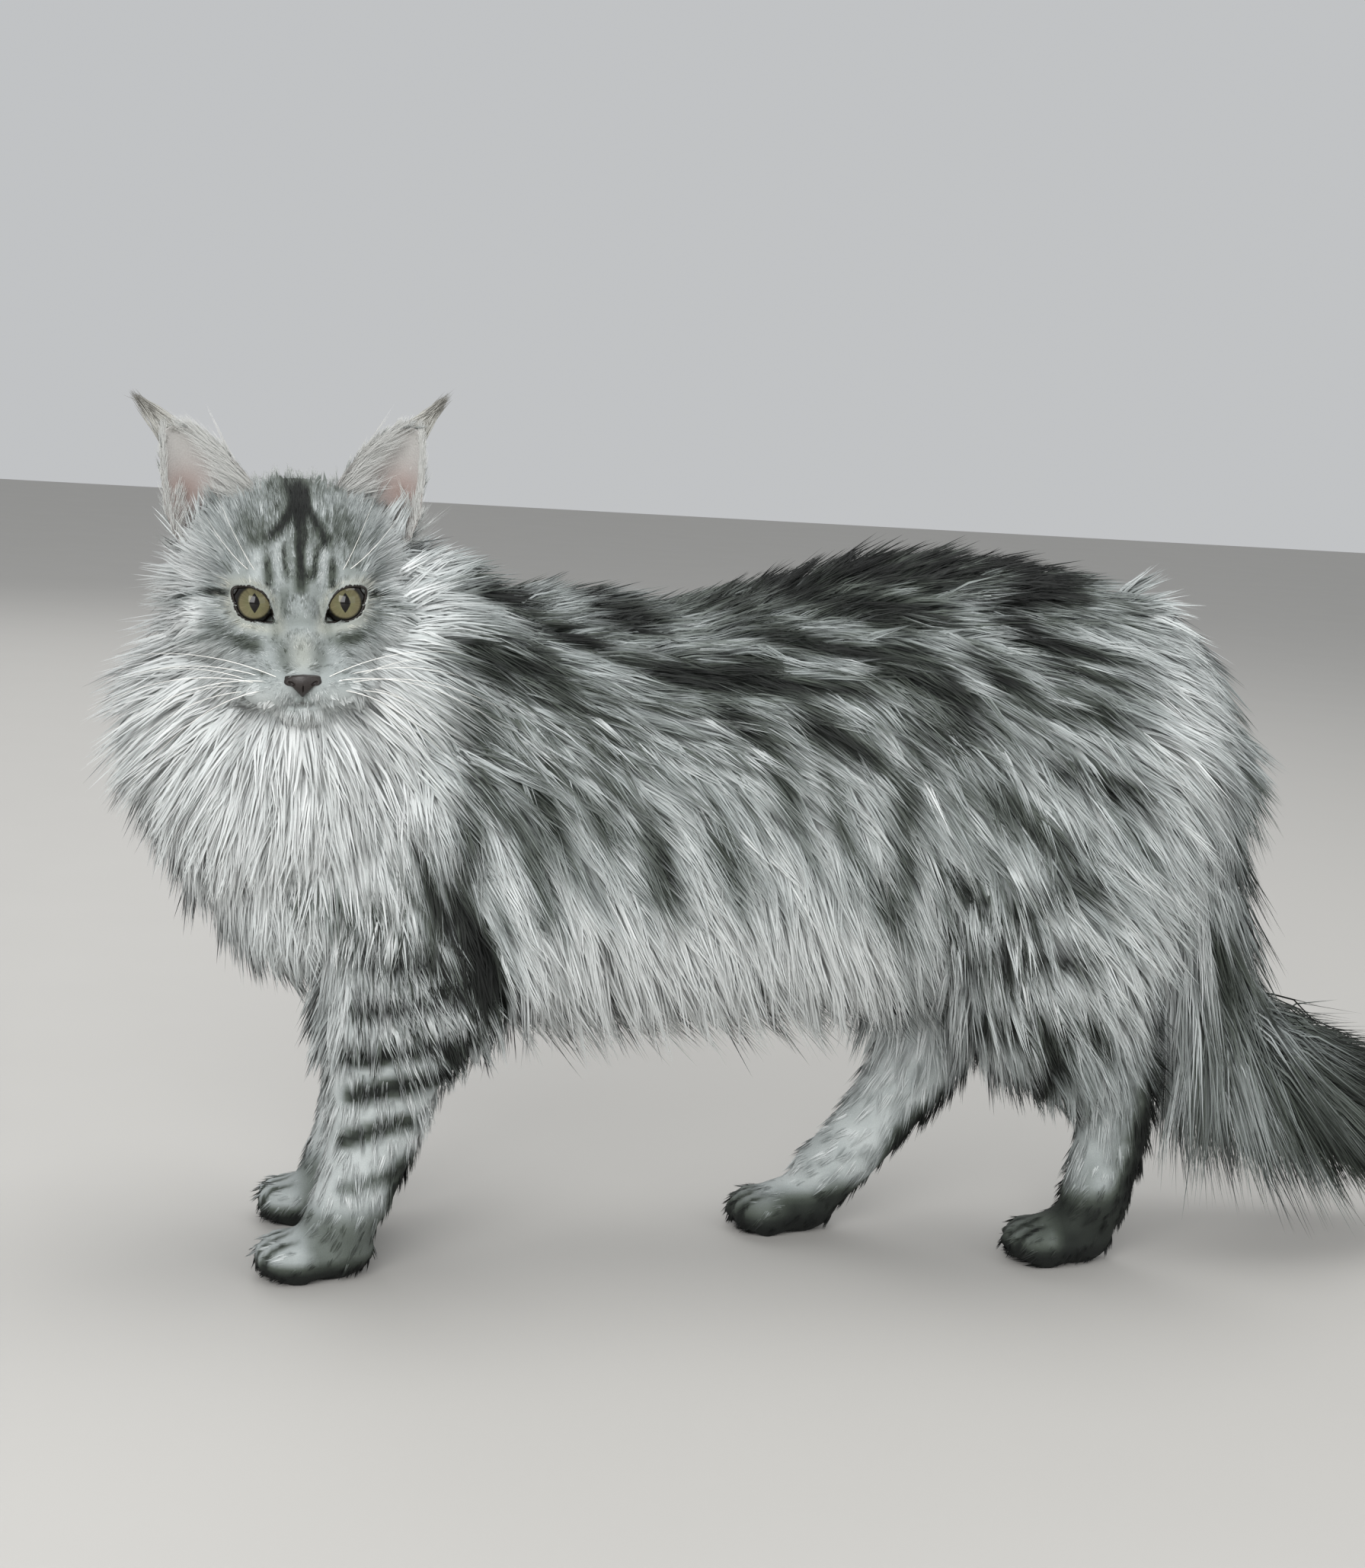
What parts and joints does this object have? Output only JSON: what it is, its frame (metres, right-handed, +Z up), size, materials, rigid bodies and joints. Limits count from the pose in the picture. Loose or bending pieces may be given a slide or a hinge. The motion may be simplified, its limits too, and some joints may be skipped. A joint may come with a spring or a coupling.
{
  "type": "maine coon cat",
  "caption": "Long-haired tabby cat standing on all paws with its head turned to its left, a still life-size display model",
  "frame": {"origin": "on the floor plane, under the middle of the whole cat's box", "axes": "+X runs along the body from the chest to the tail end, the cat faces -X with its head turned to -Y, its left side is -Y, +Z is up"},
  "size_m": [0.7804, 0.2038, 0.4337],
  "materials": {
    "coat_white": "long soft white fur",
    "coat_pale": "pale silver fur with dark bars",
    "coat_grey": "silver tabby fur with charcoal marks",
    "coat_dark": "short charcoal fur",
    "iris": "wet clear cornea over a yellow-green iris",
    "nose": "damp dark nose leather"
  },
  "bodies": {
    "root": {"head": "coat_pale", "ear_left": "coat_pale", "ear_right": "coat_pale", "eye_left": "iris", "eye_right": "iris", "nose_leather": "nose", "neck": "coat_white", "shoulders": "coat_grey", "abdomen": "coat_grey", "rump": "coat_grey", "elbow_left": "coat_pale", "elbow_right": "coat_pale", "forearm_left": "coat_pale", "forearm_right": "coat_pale", "forepaw_left": "coat_grey", "forepaw_right": "coat_grey", "thigh_left": "coat_grey", "thigh_right": "coat_grey", "hock_left": "coat_pale", "hock_right": "coat_pale", "hindpaw_left": "coat_dark", "hindpaw_right": "coat_dark", "tail_base": "coat_grey", "tail_middle": "coat_grey", "tail_end": "coat_grey"}
  },
  "joints": []
}
